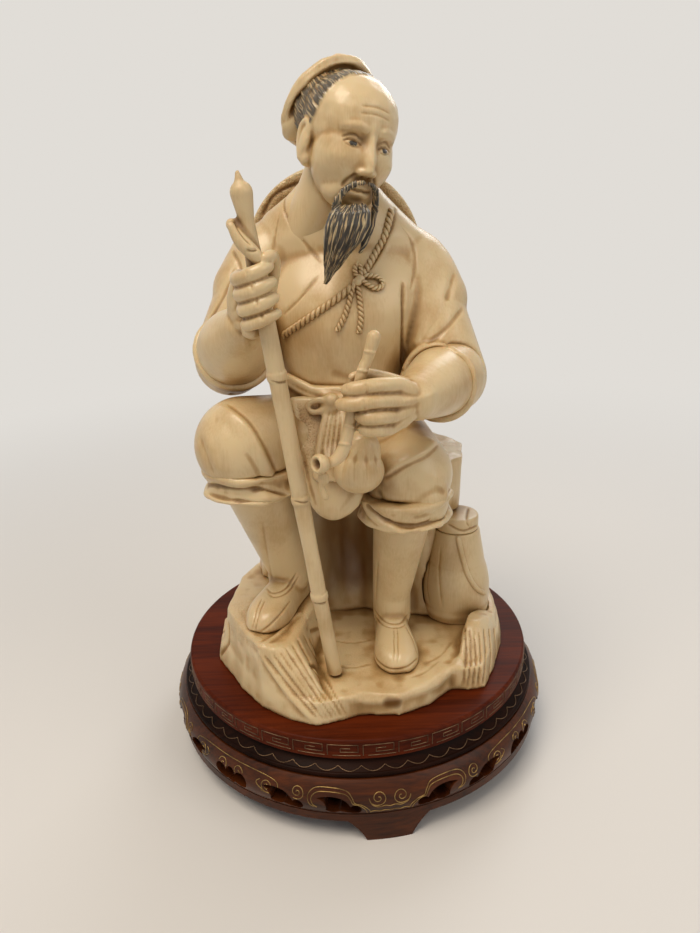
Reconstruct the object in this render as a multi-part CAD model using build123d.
from build123d import *
import math
import os

# Seated fisherman carved in sections, on a round pierced hardwood stand.
# Millimetres. +Z is up, the figure looks towards -Y, and the origin is the middle of the
# stand's underside. "Right" and "left" are the figure's own, so its right is at -X.

# Stand
foot_height = 7.0
base_ring_thickness = 2.5
apron_height = 10.7
waist_height = 4.8
disc_thickness = 6.0
disc_overhang = 2.0
disc_edge_radius = 0.9
base_ring_radius = 61.2
base_ring_width = 9.0
apron_foot_setback = 0.2
apron_belly_bulge = 1.2
apron_top_setback = 1.6
apron_wall = 4.6
apron_belly_level_share = 0.47
waist_foot_setback = 1.0
waist_top_setback = 3.6
waist_bead_radius = 0.8
waist_hollow_share = 0.35
waist_wall = 5.0
foot_count = 4
foot_azimuth = 7.0
foot_top_width = 23.6
foot_bottom_width = 13.0
foot_depth = 8.0
foot_flank_share = 0.32
foot_flank_level_share = 0.45

# Openings of the apron
opening_width = 12.6
opening_height = 5.6
opening_level_share = 0.36
opening_azimuth_shares = (0.146, 0.315, 0.5, 0.685, 0.854)

# Pins that keep the rock from turning on the stand
pin_radius = 2.0
pin_clearance = 0.3
pin_depth = 3.5
pin_reach = 4.5
pin_spread = 36.0

# Rock
rock_span = 100.0
ledge_height = 7.0
step_height = 12.5
fringe_height = 15.5
seat_height = 62.0
rock_batter_share = 0.97
seat_waist_share = 0.9
seat_waist_level_share = 0.55
seat_top_share = 0.93

# Figure: spans that place its landmarks
figure_breadth = 100.0
trunk_height = 112.0

# Legs
thigh_radius = 13.5
right_knee_radius = 13.5
left_knee_radius = 12.2
right_calf_radius = 9.5
left_calf_radius = 9.0
right_ankle_radius = 6.8
left_ankle_radius = 6.0
cuff_radius = 13.0
cuff_height = 8.5
shoe_length = 29.0
shoe_width = 13.5
shoe_height = 10.5
shoe_sole = 1.8
right_shoe_azimuth = -23.0
left_shoe_azimuth = 3.0

# Arms
shoulder_radius = 12.0
right_elbow_radius = 11.0
left_elbow_radius = 11.0
sleeve_wall = 1.4
sleeve_edge_radius = 1.5
sleeve_edge_share = 0.30
forearm_radius = 8.8
wrist_radius = 5.4
palm_radius = 4.6
fist_half_width = 6.4
fist_half_depth = 6.0
fist_half_height = 7.8
finger_count = 4
finger_swell_share = 0.4
thumb_radius = 2.1

# Head, worked in its own frame: face towards -Y, middle of the skull at the origin
head_yaw = 27.0
head_nod = 12.0
head_roll = 11.0
skull_half_width = 12.0
skull_half_depth = 13.0
skull_half_height = 12.0
skull_rise = 4.0
skull_setback = 1.5
face_half_width = 10.4
face_half_depth = 10.4
face_half_height = 13.0
face_drop = 3.5
face_lead = 3.0
nose_half_width = 1.8
nose_half_height = 3.6
ear_half_depth = 2.6
ear_half_height = 4.6
ear_thickness = 1.6
neck_radius = 7.2
neck_dowel_radius = 2.5
neck_dowel_length = 15.0
beard_half_width = 8.0
beard_half_depth = 4.0

# Cap and hat
cap_brim_radius = 2.3
cap_lean = 47.0
cap_setback = 5.5
cap_rise = 7.2
cap_ring_radius = 12.5
cap_crown_height = 8.5
hat_radius = 27.0
hat_rim_thickness = 2.2
hat_crown_height = 8.0
hat_lean = -12.0

# Sash, flap and pouch
belt_height = 6.0
belt_thickness = 1.7
belt_bedding = 1.2
sash_knot_radius = 3.4
sash_tail_width = 6.5
sash_tail_thickness = 2.4
sash_gather_share = 0.8
flap_thickness = 3.4
flap_top_width = 20.0
flap_hem_width = 25.0
pouch_radius = 7.4
pouch_depth_share = 0.8

# Staff and pipe
staff_radius = 2.5
staff_knot_radius = 2.85
staff_knot_height = 2.0
staff_grip_clearance = 0.35
staff_foot_clearance = 0.3
staff_knob_radius = 2.8
staff_stub_radius = 1.7
staff_stub_reach = 3.5
staff_shaft_share = 0.86
staff_taper_share = 0.84
staff_knot_shares = (0.20, 0.42, 0.665)
staff_neck_share = 0.93
staff_knob_share = 0.97
staff_tip_share = 1.005
staff_stub_foot_share = 0.87
staff_stub_tip_share = 0.925
pipe_radius = 1.5
pipe_mouth_radius = 1.2
pipe_bowl_radius = 2.4
pipe_bowl_height = 3.0
pipe_bore_radius = 1.4

# Basket
basket_radius = 11.0
basket_height = 31.0
basket_lid_radius = 7.0
basket_lid_height = 5.0
basket_lid_rim = 0.8
strap_radius = 0.9

# One overrun serves every cut
overrun = 2.0

# Radii of the stand, each set off from the ring below it
apron_bottom_radius = base_ring_radius - apron_foot_setback
apron_belly_radius = base_ring_radius + apron_belly_bulge
apron_top_radius = base_ring_radius - apron_top_setback
waist_bottom_radius = apron_top_radius - waist_foot_setback
waist_top_radius = waist_bottom_radius - waist_top_setback
hollow_radius = waist_top_radius - waist_wall
disc_radius = waist_top_radius + disc_overhang

# Levels that the sizes above give
apron_base = foot_height + base_ring_thickness
apron_top = apron_base + apron_height
waist_bottom = apron_top
disc_underside = apron_top + waist_height
stand_height = disc_underside + disc_thickness
ledge_top = stand_height + ledge_height
step_top = ledge_top + step_height


def level(share):
    """Height for a level share: 0 is the rock's underside, 1 the seat, 2 the cap's crown."""
    low = min(share, 1) * seat_height
    high = max(share - 1, 0) * trunk_height
    return stand_height + low + high


def place(shares):
    """Point for shares of the figure's breadth, sideways and fore and aft, and a level."""
    return Vector(shares[0] * figure_breadth, shares[1] * figure_breadth, level(shares[2]))


def at_height(point, height):
    """The same place at another height."""
    return Vector(point.X, point.Y, height)


def along(start, end, share):
    """Point at a share of the way between two points."""
    return start + (end - start) * share


def swelling(start, start_radius, end, end_radius):
    """Round limb between two points: two balls and the cone that touches both."""
    span = end - start
    slope = (start_radius - end_radius) / span.length
    spread = math.sqrt(1 - slope * slope)
    direction = span.normalized()
    cone_start = start + direction * (start_radius * slope)
    cone_length = span.length - (start_radius - end_radius) * slope
    middle = Plane(origin=cone_start + direction * (cone_length / 2), z_dir=direction)
    if start_radius == end_radius:
        flank = middle * Cylinder(start_radius, cone_length)
    else:
        flank = middle * Cone(start_radius * spread, end_radius * spread, cone_length)
    return flank.fuse(Pos(*start) * Sphere(start_radius), Pos(*end) * Sphere(end_radius))


def limb(points, radii):
    """Chain of swellings through the points."""
    spans = [
        swelling(points[i], radii[i], points[i + 1], radii[i + 1])
        for i in range(len(points) - 1)
    ]
    return spans[0].fuse(*spans[1:]) if len(spans) > 1 else spans[0]


def ellipsoid(centre, x_radius, y_radius, z_radius):
    """Egg of three half-axes about a point."""
    return Pos(*centre) * scale(Sphere(1), by=(x_radius, y_radius, z_radius))


def patch(outline_shares, height, batter_share=1):
    """Level polygon of the rock, for an outline in shares of its span."""
    reach = rock_span * batter_share
    corners = [(x * reach, y * reach) for x, y in outline_shares]
    return Plane(origin=(0, 0, height)) * make_face(Polyline(*corners, close=True))


def fitted(piece, *neighbours):
    """Piece with its neighbours' room cut out, as the one solid that is left."""
    return piece.cut(*neighbours).solids().sort_by(SortBy.VOLUME)[-1]


# Landmarks of the figure: sideways, fore and aft, level
landmark_shares = {
    "right_hip": (-0.105, 0.05, 1.063),
    "left_hip": (0.105, 0.05, 1.055),
    "right_knee": (-0.30, -0.25, 1.125),
    "left_knee": (0.17, -0.215, 1.022),
    "right_cuff": (-0.285, -0.235, 1.035),
    "left_cuff": (0.15, -0.23, 0.90),
    "right_ankle": (-0.21, -0.12, 0.50),
    "left_ankle": (0.115, -0.155, 0.371),
    "right_heel": (-0.183, -0.058, 0.0),
    "left_heel": (0.108, -0.085, 0.0),
    "right_shoulder": (-0.225, 0.03, 1.535),
    "left_shoulder": (0.195, 0.04, 1.51),
    "right_elbow": (-0.345, -0.075, 1.305),
    "left_elbow": (0.295, -0.10, 1.25),
    "right_wrist": (-0.255, -0.34, 1.43),
    "left_wrist": (0.15, -0.38, 1.25),
    "right_palm": (-0.202, -0.432, 1.505),
    "left_palm": (0.045, -0.415, 1.252),
    "left_thumb_root": (0.08, -0.385, 1.30),
    "left_thumb_tip": (-0.005, -0.405, 1.335),
    "neck_base": (0.01, 0.0, 1.62),
    "neck_top": (0.02, -0.07, 1.76),
    "head": (0.023, -0.11, 1.817),
    "beard_root": (0.045, -0.22, 1.69),
    "beard_middle": (0.01, -0.235, 1.62),
    "beard_lower": (-0.03, -0.235, 1.55),
    "beard_tip": (-0.053, -0.225, 1.50),
    "hat": (-0.03, 0.17, 1.55),
    "belt": (-0.008, -0.005, 1.225),
    "sash_knot": (-0.055, -0.205, 1.205),
    "flap_top": (-0.04, -0.17, 1.19),
    "flap_middle": (-0.04, -0.275, 1.09),
    "flap_hem": (-0.04, -0.305, 0.90),
    "pouch": (0.03, -0.345, 1.076),
    "staff_foot": (-0.07, -0.36, 0.113),
    "staff_top": (-0.23, -0.45, 1.741),
    "pipe_mouth": (0.055, -0.425, 1.402),
    "pipe_heel": (0.005, -0.425, 1.205),
    "pipe_bend": (-0.03, -0.425, 1.105),
    "pipe_bowl": (-0.077, -0.42, 1.112),
    "basket_foot": (0.34, -0.02, 0.0),
}
at = {name: place(shares) for name, shares in landmark_shares.items()}


# Top disc, waist and base ring of the stand

stand_top_disc = Pos(0, 0, disc_underside + disc_thickness / 2) * Cylinder(
    disc_radius, disc_thickness
)
stand_top_disc = fillet(stand_top_disc.edges().group_by(Axis.Z)[-1], disc_edge_radius)

waist_shoulder = waist_bottom + 2 * waist_bead_radius
waist_hollow_radius = (
    waist_top_radius + (waist_bottom_radius - waist_top_radius) * waist_hollow_share
)
waist_outline = Polyline(
    (waist_bottom_radius, 0, waist_bottom),
    (hollow_radius, 0, waist_bottom),
    (hollow_radius, 0, disc_underside),
    (waist_top_radius, 0, disc_underside),
)
waist_cove = ThreePointArc(
    (waist_top_radius, 0, disc_underside),
    (waist_hollow_radius, 0, (disc_underside + waist_shoulder) / 2),
    (waist_bottom_radius, 0, waist_shoulder),
)
waist_bead = ThreePointArc(
    (waist_bottom_radius, 0, waist_shoulder),
    (waist_bottom_radius + waist_bead_radius, 0, waist_bottom + waist_bead_radius),
    (waist_bottom_radius, 0, waist_bottom),
)
stand_waist = revolve(make_face(waist_outline + waist_cove + waist_bead), Axis.Z)

base_ring_level = foot_height + base_ring_thickness / 2
stand_base_ring = Pos(0, 0, base_ring_level) * (
    Cylinder(base_ring_radius, base_ring_thickness)
    - Cylinder(base_ring_radius - base_ring_width, base_ring_thickness)
)

# Pierced apron: a swelling ring with a cloud-shaped opening cut for each motif
apron_outline = Polyline(
    (apron_bottom_radius, 0, apron_base),
    (apron_belly_radius - apron_wall, 0, apron_base),
    (apron_top_radius - apron_wall, 0, apron_top),
    (apron_top_radius, 0, apron_top),
)
apron_belly = ThreePointArc(
    (apron_top_radius, 0, apron_top),
    (apron_belly_radius, 0, apron_base + apron_height * apron_belly_level_share),
    (apron_bottom_radius, 0, apron_base),
)
apron_ring = revolve(make_face(apron_outline + apron_belly), Axis.Z)

# Arcs of the outline in shares of its width and height, its high lobe towards -X
cloud_arc_shares = (
    ((-0.50, 0.38), (-0.26, 0.52), (0.04, 0.46)),
    ((0.04, 0.46), (0.18, 0.26), (0.26, -0.03)),
    ((0.26, -0.03), (0.50, -0.22), (0.34, -0.50)),
    ((0.34, -0.50), (0.16, -0.46), (0.03, -0.34)),
    ((0.03, -0.34), (-0.14, -0.50), (-0.30, -0.36)),
    ((-0.30, -0.36), (-0.31, 0.08), (-0.50, 0.38)),
)
# Arcs of the even opening in the middle between two feet
ruyi_arc_shares = (
    ((-0.14, 0.24), (0.0, 0.54), (0.14, 0.24)),
    ((0.14, 0.24), (0.36, 0.46), (0.50, 0.06)),
    ((0.50, 0.06), (0.36, -0.42), (0.10, -0.32)),
    ((0.10, -0.32), (0.0, -0.50), (-0.10, -0.32)),
    ((-0.10, -0.32), (-0.36, -0.42), (-0.50, 0.06)),
    ((-0.50, 0.06), (-0.36, 0.46), (-0.14, 0.24)),
)


def opening_face(arc_shares, hand):
    """Face of one opening, turned to the other side for a hand of -1."""
    arcs = [
        ThreePointArc(
            *[(x * hand * opening_width, z * opening_height) for x, z in three_shares]
        )
        for three_shares in arc_shares
    ]
    return make_face(Curve() + arcs)


def radial_plane(azimuth, radius, height):
    """Plane facing outwards at an azimuth, counted from -Y towards +X."""
    angle = math.radians(azimuth)
    outward = Vector(math.sin(angle), -math.cos(angle), 0)
    sideways = Vector(math.cos(angle), math.sin(angle), 0)
    origin = outward * radius + Vector(0, 0, height)
    return Plane(origin=origin, x_dir=sideways, z_dir=outward)


foot_pitch = 360 / foot_count
opening_level = apron_base + apron_height * opening_level_share
opening_run = apron_belly_radius - hollow_radius + overrun
middle_share = opening_azimuth_shares[len(opening_azimuth_shares) // 2]
opening_cuts = []
for index in range(foot_count):
    for azimuth_share in opening_azimuth_shares:
        azimuth = foot_azimuth + (index + azimuth_share) * foot_pitch
        if azimuth_share == middle_share:
            face = opening_face(ruyi_arc_shares, 1)
        elif azimuth_share > middle_share:
            face = opening_face(cloud_arc_shares, 1)
        else:
            face = opening_face(cloud_arc_shares, -1)
        plane = radial_plane(azimuth, hollow_radius, opening_level)
        opening_cuts.append(extrude(plane * face, opening_run))
stand_apron = apron_ring.cut(*opening_cuts)

# Bracket feet with hollow flanks
foot_flank_width = (
    foot_bottom_width + (foot_top_width - foot_bottom_width) * foot_flank_share
)


def foot_flank(side):
    """Hollow flank of a foot, from the ground up, for a side of 1 or -1."""
    return ThreePointArc(
        (side * foot_bottom_width / 2, 0),
        (side * foot_flank_width / 2, foot_height * foot_flank_level_share),
        (side * foot_top_width / 2, foot_height),
    )


foot_lines = [
    foot_flank(1),
    Line((foot_top_width / 2, foot_height), (-foot_top_width / 2, foot_height)),
    foot_flank(-1),
    Line((-foot_bottom_width / 2, 0), (foot_bottom_width / 2, 0)),
]
foot_face = make_face(Curve() + foot_lines)
foot_band = Pos(0, 0, foot_height / 2) * (
    Cylinder(base_ring_radius, foot_height)
    - Cylinder(base_ring_radius - foot_depth, foot_height)
)
stand_feet = {}
for index, side_name in enumerate(("front", "left", "back", "right")):
    plane = radial_plane(foot_azimuth + index * foot_pitch, 0, 0)
    bracket = extrude(plane * foot_face, base_ring_radius + overrun)
    stand_feet["stand_foot_" + side_name] = foot_band & bracket

# Locating pins
pin_length = pin_depth + pin_reach
pin_level = stand_height - pin_depth + pin_length / 2
socket_height = pin_reach + pin_clearance
pins = []
pin_sockets = []
for side in (1, -1):
    pin_x = side * pin_spread / 2
    pins.append(Pos(pin_x, 0, pin_level) * Cylinder(pin_radius, pin_length))
    pin_sockets.append(
        Pos(pin_x, 0, stand_height + socket_height / 2)
        * Cylinder(pin_radius + pin_clearance, socket_height)
    )
stand_top_disc = stand_top_disc.cut(*pins)
locating_pins = Compound(children=pins)


# Staff: a knotted stick that can be drawn up through the fist

staff_line = at["staff_top"] - at["staff_foot"]
staff_length = staff_line.length
staff_plane = Plane(origin=at["staff_foot"], z_dir=staff_line)


def on_staff(share, sideways=0):
    """Point at a share of the staff's length, set off sideways from its axis."""
    return staff_plane.from_local_coords(Vector(sideways, 0, staff_length * share))


def round_on_staff(radius, height, share):
    """Cylinder about the staff's axis, its middle at a share of the length."""
    return staff_plane * Pos(0, 0, staff_length * share) * Cylinder(radius, height)


shaft_length = staff_length * staff_shaft_share + overrun
staff_shaft = (
    staff_plane
    * Pos(0, 0, shaft_length / 2 - overrun)
    * Cylinder(staff_radius, shaft_length)
)
staff_neck_radius = staff_radius * staff_taper_share
staff_head = limb(
    [on_staff(staff_shaft_share), on_staff(staff_neck_share), on_staff(staff_knob_share)],
    [staff_radius, staff_neck_radius, staff_knob_radius],
)
staff_tip_length = staff_length * (staff_tip_share - staff_knob_share)
staff_tip = (
    staff_plane
    * Pos(0, 0, staff_length * staff_knob_share + staff_tip_length / 2)
    * Cone(staff_neck_radius, staff_stub_radius / 3, staff_tip_length)
)
staff_stub = swelling(
    on_staff(staff_stub_foot_share),
    staff_stub_radius,
    on_staff(staff_stub_tip_share, -staff_stub_reach),
    staff_stub_radius,
)
staff_knots = [
    round_on_staff(staff_knot_radius, staff_knot_height, share)
    for share in staff_knot_shares
]
under_staff = Pos(0, 0, ledge_top + staff_foot_clearance - rock_span / 2) * Box(
    rock_span, rock_span, rock_span
)
staff = staff_shaft.fuse(staff_head, staff_tip, staff_stub, *staff_knots) - under_staff

# Room that the staff needs in the fist and past whatever it leans by
staff_way = round_on_staff(staff_knot_radius + staff_grip_clearance, staff_length, 1 / 2)


# Rock, as outlines in shares of its span

rock_outline_shares = (
    (-0.45, -0.17),
    (-0.41, -0.24),
    (-0.36, -0.33),
    (-0.286, -0.42),
    (-0.20, -0.48),
    (-0.12, -0.51),
    (-0.04, -0.49),
    (0.0, -0.47),
    (0.115, -0.48),
    (0.206, -0.435),
    (0.28, -0.365),
    (0.33, -0.37),
    (0.38, -0.36),
    (0.43, -0.265),
    (0.476, -0.14),
    (0.498, -0.02),
    (0.497, 0.145),
    (0.44, 0.28),
    (0.30, 0.38),
    (0.08, 0.42),
    (-0.15, 0.40),
    (-0.33, 0.30),
    (-0.43, 0.12),
    (-0.46, -0.04),
)
step_base_shares = (
    (-0.435, -0.165),
    (-0.395, -0.235),
    (-0.35, -0.32),
    (-0.28, -0.405),
    (-0.20, -0.465),
    (-0.12, -0.49),
    (-0.085, -0.475),
    (-0.11, -0.36),
    (-0.13, -0.26),
    (-0.10, -0.12),
    (-0.14, 0.06),
    (-0.25, 0.24),
    (-0.36, 0.20),
    (-0.42, 0.06),
)
step_top_shares = (
    (-0.41, -0.17),
    (-0.375, -0.24),
    (-0.335, -0.315),
    (-0.29, -0.385),
    (-0.245, -0.41),
    (-0.21, -0.40),
    (-0.185, -0.37),
    (-0.165, -0.31),
    (-0.15, -0.24),
    (-0.12, -0.12),
    (-0.15, 0.04),
    (-0.25, 0.18),
    (-0.34, 0.15),
    (-0.39, 0.04),
)
fringe_base_shares = (
    (0.30, -0.345),
    (0.34, -0.355),
    (0.375, -0.345),
    (0.42, -0.26),
    (0.46, -0.14),
    (0.48, -0.03),
    (0.45, 0.0),
    (0.40, -0.10),
    (0.32, -0.22),
)
fringe_top_shares = (
    (0.345, -0.215),
    (0.365, -0.225),
    (0.385, -0.22),
    (0.425, -0.17),
    (0.455, -0.10),
    (0.47, -0.03),
    (0.455, -0.01),
    (0.42, -0.09),
    (0.355, -0.175),
)
seat_outline_shares = (
    (-0.33, 0.02),
    (-0.22, -0.06),
    (-0.10, -0.02),
    (0.03, 0.0),
    (0.14, -0.08),
    (0.28, -0.10),
    (0.39, 0.0),
    (0.41, 0.15),
    (0.32, 0.30),
    (0.10, 0.37),
    (-0.12, 0.35),
    (-0.27, 0.25),
    (-0.35, 0.12),
)
seat_waist_level = along(
    Vector(0, 0, ledge_top), Vector(0, 0, level(1)), seat_waist_level_share
).Z
rock_slab = loft(
    [
        patch(rock_outline_shares, stand_height),
        patch(rock_outline_shares, ledge_top, rock_batter_share),
    ],
    ruled=True,
)
rock_step = loft(
    [patch(step_base_shares, ledge_top - overrun), patch(step_top_shares, step_top)],
    ruled=True,
)
rock_fringe = loft(
    [
        patch(fringe_base_shares, ledge_top - overrun),
        patch(fringe_top_shares, stand_height + fringe_height),
    ],
    ruled=True,
)
seat_stump = loft(
    [
        patch(seat_outline_shares, ledge_top),
        patch(seat_outline_shares, seat_waist_level, seat_waist_share),
        patch(seat_outline_shares, level(1), seat_top_share),
    ],
    ruled=True,
)


# Basket with a lid, and the strap that hangs from its neck

basket_foot = at_height(at["basket_foot"], ledge_top)
basket_radius_shares = (0.90, 1.0, 0.90, 0.60, 0.62)
basket_level_shares = (0.0, 0.16, 0.58, 0.94, 1.0)
basket_side_points = [
    (basket_radius * radius_share, 0, basket_height * level_share)
    for radius_share, level_share in zip(basket_radius_shares, basket_level_shares)
]
basket_side = Spline(*basket_side_points)
basket_ends = Polyline(
    basket_side_points[-1], (0, 0, basket_height), (0, 0, 0), basket_side_points[0]
)
basket = Pos(*basket_foot) * revolve(make_face(basket_side + basket_ends), Axis.Z)
lid_level = basket_height + basket_lid_height / 2
basket_lid = Cylinder(basket_lid_radius, basket_lid_height)
basket_lid = fillet(basket_lid.edges().group_by(Axis.Z)[-1], basket_lid_rim)
basket_lid = Pos(*basket_foot) * Pos(0, 0, lid_level) * basket_lid
strap_azimuth_shares = (0.02, 0.05, 0.10, 0.20)
strap_level_shares = (0.90, 0.60, 0.33, 0.22)
strap_radius_shares = (0.68, 0.91, 1.0, 1.02)
strap_points = [
    radial_plane(azimuth_share * 360, basket_radius * radius_share, 0).origin
    + basket_foot
    + Vector(0, 0, basket_height * level_share)
    for azimuth_share, radius_share, level_share in zip(
        strap_azimuth_shares, strap_radius_shares, strap_level_shares
    )
]
basket_strap = limb(strap_points, [strap_radius] * len(strap_points))


# Legs: bare shin, cloth shoe, rolled cuff and breeches leg on each side

shoe_station_shares = (0.0, 0.10, 0.34, 0.66, 0.90, 1.0)
shoe_width_shares = (0.34, 0.74, 0.80, 1.0, 0.80, 0.36)
shoe_height_shares = (0.40, 0.90, 1.0, 0.74, 0.54, 0.26)
cuff_station_shares = (-0.5, -0.28, -0.02, 0.26, 0.5)
cuff_swell_shares = (0.90, 1.04, 0.97, 1.03, 0.86)


def shoe_between(heel, azimuth, sole_height):
    """Shoe lofted from heel to toe through arched sections that stand on the sole."""
    frame = radial_plane(azimuth, 0, sole_height)
    start = at_height(heel, sole_height)
    sections = []
    for station_share, width_share, height_share in zip(
        shoe_station_shares, shoe_width_shares, shoe_height_shares
    ):
        half_width = shoe_width * width_share / 2
        arch = Spline(
            (half_width, 0),
            (0, shoe_height * height_share),
            (-half_width, 0),
            tangents=((0, 1), (0, -1)),
        )
        sole = Line((-half_width, 0), (half_width, 0))
        centre = start + frame.z_dir * (shoe_length * station_share)
        section_plane = Plane(origin=centre, x_dir=frame.x_dir, z_dir=frame.z_dir)
        sections.append(section_plane * make_face(arch + sole))
    return loft(sections)


def shin_of(cuff, ankle, calf_radius, ankle_radius, sole_height):
    """Bare shin with the stub of the foot that the shoe takes."""
    foot = at_height(ankle, sole_height + shoe_sole + ankle_radius)
    return limb([cuff, ankle, foot], [calf_radius, ankle_radius, ankle_radius])


def cuff_of(cuff):
    """Breeches leg rolled twice, level round the calf: two swellings with a groove between."""
    sections = [
        Pos(0, 0, cuff_height * station) * Circle(cuff_radius * swell)
        for station, swell in zip(cuff_station_shares, cuff_swell_shares)
    ]
    return Pos(*cuff) * loft(sections)


right_shin = shin_of(
    at["right_cuff"], at["right_ankle"], right_calf_radius, right_ankle_radius, step_top
)
left_shin = shin_of(
    at["left_cuff"], at["left_ankle"], left_calf_radius, left_ankle_radius, ledge_top
)
right_shoe = shoe_between(at["right_heel"], right_shoe_azimuth, step_top)
left_shoe = shoe_between(at["left_heel"], left_shoe_azimuth, ledge_top)
right_cuff = cuff_of(at["right_cuff"])
left_cuff = cuff_of(at["left_cuff"])
right_breeches_leg = limb(
    [at["right_hip"], at["right_knee"], at["right_cuff"]],
    [thigh_radius, right_knee_radius, cuff_radius * cuff_swell_shares[-1]],
)
left_breeches_leg = limb(
    [at["left_hip"], at["left_knee"], at["left_cuff"]],
    [thigh_radius, left_knee_radius, cuff_radius * cuff_swell_shares[-1]],
)


# Robe: level ellipses as place, half-width and half-depth, in shares of the breadth

torso_station_shares = (
    (0.0, 0.09, 0.952, 0.235, 0.185),
    (0.0, 0.05, 1.063, 0.215, 0.175),
    (-0.01, 0.0, 1.232, 0.20, 0.175),
    (0.0, -0.02, 1.393, 0.225, 0.18),
    (0.0, -0.005, 1.491, 0.245, 0.165),
    (0.0, 0.02, 1.5625, 0.22, 0.135),
    (0.01, 0.02, 1.616, 0.15, 0.105),
    (0.01, 0.015, 1.652, 0.10, 0.085),
)
robe_torso = loft(
    [
        Plane(origin=place(shares[:3]))
        * Ellipse(figure_breadth * shares[3], figure_breadth * shares[4])
        for shares in torso_station_shares
    ]
)


def sleeve_of(shoulder, elbow, wrist, elbow_radius):
    """Sleeve to the elbow, with the rolled edge that lies round the forearm."""
    arm = limb([shoulder, elbow], [shoulder_radius, elbow_radius])
    edge_plane = Plane(
        origin=along(elbow, wrist, sleeve_edge_share), z_dir=wrist - elbow
    )
    edge = edge_plane * Torus(forearm_radius + sleeve_wall, sleeve_edge_radius)
    cover = (
        edge_plane
        * Pos(0, 0, -elbow_radius / 2)
        * Cylinder(forearm_radius + sleeve_wall, elbow_radius)
    )
    return arm.fuse(edge, cover)


def fist_at(palm, grip_direction, sideways):
    """Closed hand: a block with four finger rolls in front, rounded about its grip."""
    roll_pitch = 2 * fist_half_height / finger_count
    knuckle_line = fist_half_depth - roll_pitch * finger_swell_share
    rolls = [
        ThreePointArc(
            (knuckle_line, roll_pitch * index - fist_half_height),
            (fist_half_depth, roll_pitch * (index + 1 / 2) - fist_half_height),
            (knuckle_line, roll_pitch * (index + 1) - fist_half_height),
        )
        for index in range(finger_count)
    ]
    back = Polyline(
        (knuckle_line, fist_half_height),
        (-fist_half_depth, fist_half_height),
        (-fist_half_depth, -fist_half_height),
        (knuckle_line, -fist_half_height),
    )
    grip_plane = Plane(origin=palm, x_dir=sideways, z_dir=grip_direction)
    forward = grip_plane.x_dir.cross(grip_plane.z_dir)
    profile_plane = Plane(
        origin=palm, x_dir=forward, z_dir=forward.cross(grip_plane.z_dir)
    )
    block = extrude(
        profile_plane * make_face(Curve() + rolls + [back]), fist_half_width, both=True
    )
    barrel = extrude(
        grip_plane * Ellipse(fist_half_width, fist_half_depth), fist_half_height, both=True
    )
    return block & barrel


right_sleeve = sleeve_of(
    at["right_shoulder"], at["right_elbow"], at["right_wrist"], right_elbow_radius
)
left_sleeve = sleeve_of(
    at["left_shoulder"], at["left_elbow"], at["left_wrist"], left_elbow_radius
)
right_arm = limb(
    [at["right_elbow"], at["right_wrist"], at["right_palm"]],
    [forearm_radius, wrist_radius, palm_radius],
)
left_arm = limb(
    [at["left_elbow"], at["left_wrist"], at["left_palm"]],
    [forearm_radius, wrist_radius, palm_radius],
)
right_fist = fist_at(at["right_palm"], staff_line, Vector(1, 0, 0))
left_fist = fist_at(
    at["left_palm"], at["pipe_mouth"] - at["pipe_heel"], Vector(1, 0, 0)
)
left_thumb = swelling(
    at["left_thumb_root"], thumb_radius, at["left_thumb_tip"], thumb_radius
)
right_forearm = right_arm.fuse(right_fist)
left_forearm = left_arm.fuse(left_fist, left_thumb)

# Pipe: stem, heel and a bowl that opens upwards
pipe = limb(
    [at["pipe_mouth"], at["pipe_heel"], at["pipe_bend"], at["pipe_bowl"]],
    [pipe_mouth_radius, pipe_radius, pipe_radius, pipe_radius],
)
bowl_rim = at["pipe_bowl"] + Vector(0, 0, pipe_bowl_height / 2)
pipe_bowl = Pos(*bowl_rim) * Cylinder(pipe_bowl_radius, pipe_bowl_height)
pipe_bore = Pos(*bowl_rim) * Pos(0, 0, pipe_radius) * Cylinder(
    pipe_bore_radius, pipe_bowl_height
)
pipe = pipe.fuse(pipe_bowl) - pipe_bore


# Head, neck and what is worn on them

head_place = (
    Pos(*at["head"]) * Rot(Z=head_yaw) * Rot(X=head_nod) * Rot(Y=head_roll)
)
skull = ellipsoid(
    (0, skull_setback, skull_rise), skull_half_width, skull_half_depth, skull_half_height
)
face = ellipsoid(
    (0, -face_lead, -face_drop), face_half_width, face_half_depth, face_half_height
)
face_front = face_lead + face_half_depth
nose = ellipsoid(
    (0, -face_front, -face_drop), nose_half_width, nose_half_width, nose_half_height
)
ears = [
    ellipsoid(
        (side * (skull_half_width - ear_thickness / 2), 0, -face_drop / 2),
        ear_thickness,
        ear_half_depth,
        ear_half_height,
    )
    for side in (1, -1)
]
neck = limb([at["neck_base"], at["neck_top"]], [neck_radius, neck_radius])
head = (head_place * skull.fuse(face, nose, *ears)).fuse(neck)
neck_dowel = Pos(*at["neck_base"]) * Pos(0, 0, -neck_radius) * Cylinder(
    neck_dowel_radius, neck_dowel_length
)

beard_width_shares = (0.78, 0.94, 0.55, 0.12)
beard_depth_shares = (0.9, 1.0, 0.7, 0.2)
beard_names = ("beard_root", "beard_middle", "beard_lower", "beard_tip")
beard = loft(
    [
        Plane(origin=at[name])
        * Ellipse(beard_half_width * width_share, beard_half_depth * depth_share)
        for name, width_share, depth_share in zip(
            beard_names, beard_width_shares, beard_depth_shares
        )
    ]
)

cap_frame = Pos(0, cap_setback, cap_rise) * Rot(X=-cap_lean)
cap_crown = ellipsoid((0, 0, 0), cap_ring_radius, cap_ring_radius, cap_crown_height)
cap_cut = Pos(0, 0, -cap_ring_radius) * Box(
    2 * cap_ring_radius, 2 * cap_ring_radius, 2 * cap_ring_radius
)
cap = head_place * cap_frame * (
    (cap_crown - cap_cut) + Torus(cap_ring_radius, cap_brim_radius)
)

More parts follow.
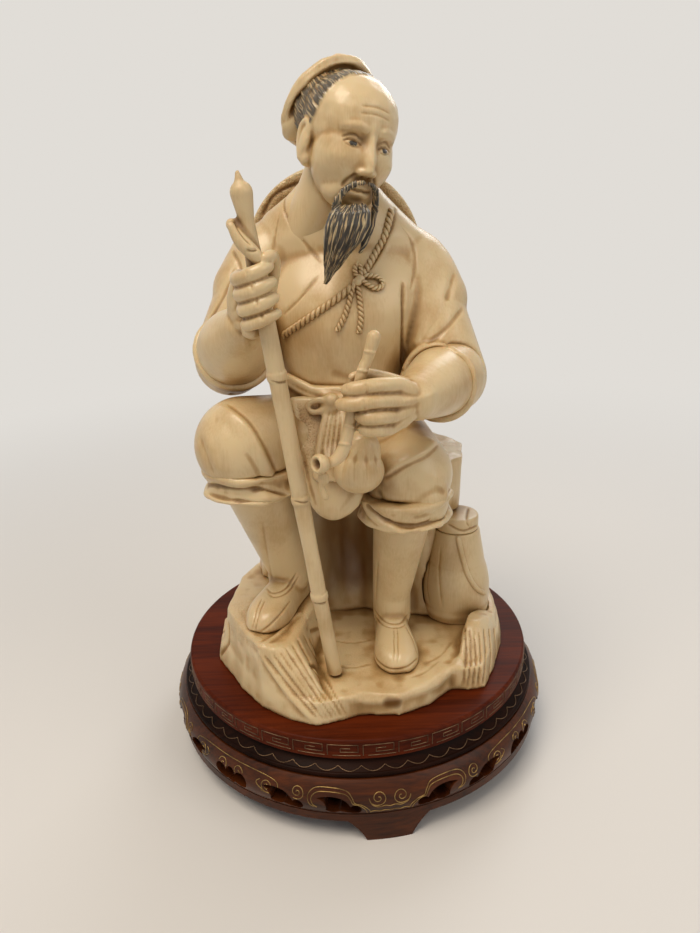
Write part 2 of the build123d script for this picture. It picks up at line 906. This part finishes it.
# Round straw hat that hangs on the back: a domed crown on a flat rim
hat_ball_radius = (hat_radius**2 + hat_crown_height**2) / (2 * hat_crown_height)
hat_crown = Pos(0, 0, hat_crown_height - hat_ball_radius) * Sphere(hat_ball_radius)
hat_rim = Pos(0, 0, -hat_rim_thickness / 2) * Cylinder(hat_radius, hat_rim_thickness)
hat_room = Pos(0, 0, hat_crown_height / 2) * Cylinder(hat_radius, hat_crown_height)
back_hat = Pos(*at["hat"]) * Rot(X=-90 - hat_lean) * (hat_crown & hat_room).fuse(hat_rim)


# Sash with its knot and tails, the robe's front flap and the pouch

waist_half_width = figure_breadth * torso_station_shares[2][3]
waist_half_depth = figure_breadth * torso_station_shares[2][4]
belt_face = Ellipse(
    waist_half_width + belt_thickness, waist_half_depth + belt_thickness
) - Ellipse(waist_half_width - belt_bedding, waist_half_depth - belt_bedding)
belt_foot = Plane(origin=at["belt"] - Vector(0, 0, belt_height / 2))
belt_ring = extrude(belt_foot * belt_face, belt_height)


def hanging_strip(points, widths, thickness):
    """Strip of cloth hung through level rectangles."""
    return loft(
        [
            Plane(origin=point) * Rectangle(width, thickness)
            for point, width in zip(points, widths)
        ],
        ruled=True,
    )


flap_points = [at["flap_top"], at["flap_middle"], at["flap_hem"]]
flap_widths = [flap_top_width, (flap_top_width + flap_hem_width) / 2, flap_hem_width]
robe_flap = hanging_strip(flap_points, flap_widths, flap_thickness)
tail_front = Vector(0, -(flap_thickness + sash_tail_thickness) / 2, 0)
tail_points = [
    along(at["flap_top"], at["flap_middle"], 1 / 2) + tail_front,
    at["flap_middle"] + tail_front,
    along(at["flap_middle"], at["flap_hem"], 1 / 3) + tail_front,
]
tail_widths = [sash_tail_width] * len(tail_points)
sash_tails = hanging_strip(
    [at["sash_knot"]] + tail_points,
    [sash_tail_width * sash_gather_share] + tail_widths,
    sash_tail_thickness,
)
sash_knot = Pos(*at["sash_knot"]) * Rot(X=90) * Sphere(sash_knot_radius)
belt_sash = belt_ring.fuse(sash_tails, sash_knot)
pouch = ellipsoid(
    at["pouch"], pouch_radius, pouch_radius * pouch_depth_share, pouch_radius
)


# Fit the pieces to each other, each cut by what it is seated on

rock_step = rock_step - staff_way
rock_base = rock_slab.fuse(rock_step, rock_fringe)
rock_base = fitted(rock_base, basket, basket_strap, *pin_sockets)
seat_stump = fitted(seat_stump, rock_base, basket, basket_lid, right_shin, left_shin)
seat_stump = fitted(seat_stump, right_shoe, left_shoe)
basket_strap = fitted(basket_strap, basket, basket_lid)
right_shoe = fitted(right_shoe, right_shin)
left_shoe = fitted(left_shoe, left_shin)
rock_base = fitted(rock_base, right_shin, left_shin)
right_cuff = fitted(right_cuff, right_shin, seat_stump)
left_cuff = fitted(left_cuff, left_shin, seat_stump)
right_breeches_leg = fitted(right_breeches_leg, right_shin, right_cuff, seat_stump)
left_breeches_leg = fitted(
    left_breeches_leg, left_shin, left_cuff, seat_stump, right_breeches_leg
)
neck_dowel = neck_dowel - Pos(*at["neck_base"]) * Pos(0, 0, neck_dowel_length) * Box(
    neck_dowel_length, neck_dowel_length, neck_dowel_length
)
head = fitted(head, neck_dowel)
robe_torso = fitted(robe_torso, head, neck_dowel, seat_stump, back_hat)
robe_torso = fitted(robe_torso, right_breeches_leg, left_breeches_leg)
legs = (right_breeches_leg, left_breeches_leg, right_cuff, left_cuff)
belt_sash = fitted(belt_sash, staff_way, *legs)
robe_torso = fitted(robe_torso, belt_sash)
beard = fitted(beard, head, robe_torso)
cap = fitted(cap, head)
right_forearm = fitted(right_forearm, staff_way, right_breeches_leg)
left_forearm = fitted(left_forearm, pipe)
right_sleeve = fitted(right_sleeve, robe_torso, right_forearm, right_breeches_leg)
right_sleeve = fitted(right_sleeve, back_hat)
left_sleeve = fitted(left_sleeve, robe_torso, left_forearm, left_breeches_leg)
left_sleeve = fitted(left_sleeve, back_hat, belt_sash)
robe_flap = fitted(robe_flap, robe_torso, belt_sash, staff_way, seat_stump, *legs)
pouch = fitted(pouch, belt_sash, robe_flap, left_forearm, pipe, staff_way, *legs)


pieces = {
    "stand_top_disc": stand_top_disc,
    "stand_waist": stand_waist,
    "stand_apron": stand_apron,
    "stand_base_ring": stand_base_ring,
    "locating_pins": locating_pins,
    "rock_base": rock_base,
    "seat_stump": seat_stump,
    "basket": basket,
    "basket_lid": basket_lid,
    "basket_strap": basket_strap,
    "right_shoe": right_shoe,
    "left_shoe": left_shoe,
    "right_shin": right_shin,
    "left_shin": left_shin,
    "right_cuff": right_cuff,
    "left_cuff": left_cuff,
    "right_breeches_leg": right_breeches_leg,
    "left_breeches_leg": left_breeches_leg,
    "robe_torso": robe_torso,
    "right_sleeve": right_sleeve,
    "left_sleeve": left_sleeve,
    "right_forearm": right_forearm,
    "left_forearm": left_forearm,
    "robe_flap": robe_flap,
    "belt_sash": belt_sash,
    "pouch": pouch,
    "neck_dowel": neck_dowel,
    "head": head,
    "beard": beard,
    "cap": cap,
    "back_hat": back_hat,
    "pipe": pipe,
    "staff": staff,
} | stand_feet

os.makedirs("parts", exist_ok=True)
for node, solid in pieces.items():
    export_step(solid, "parts/" + node + ".step")
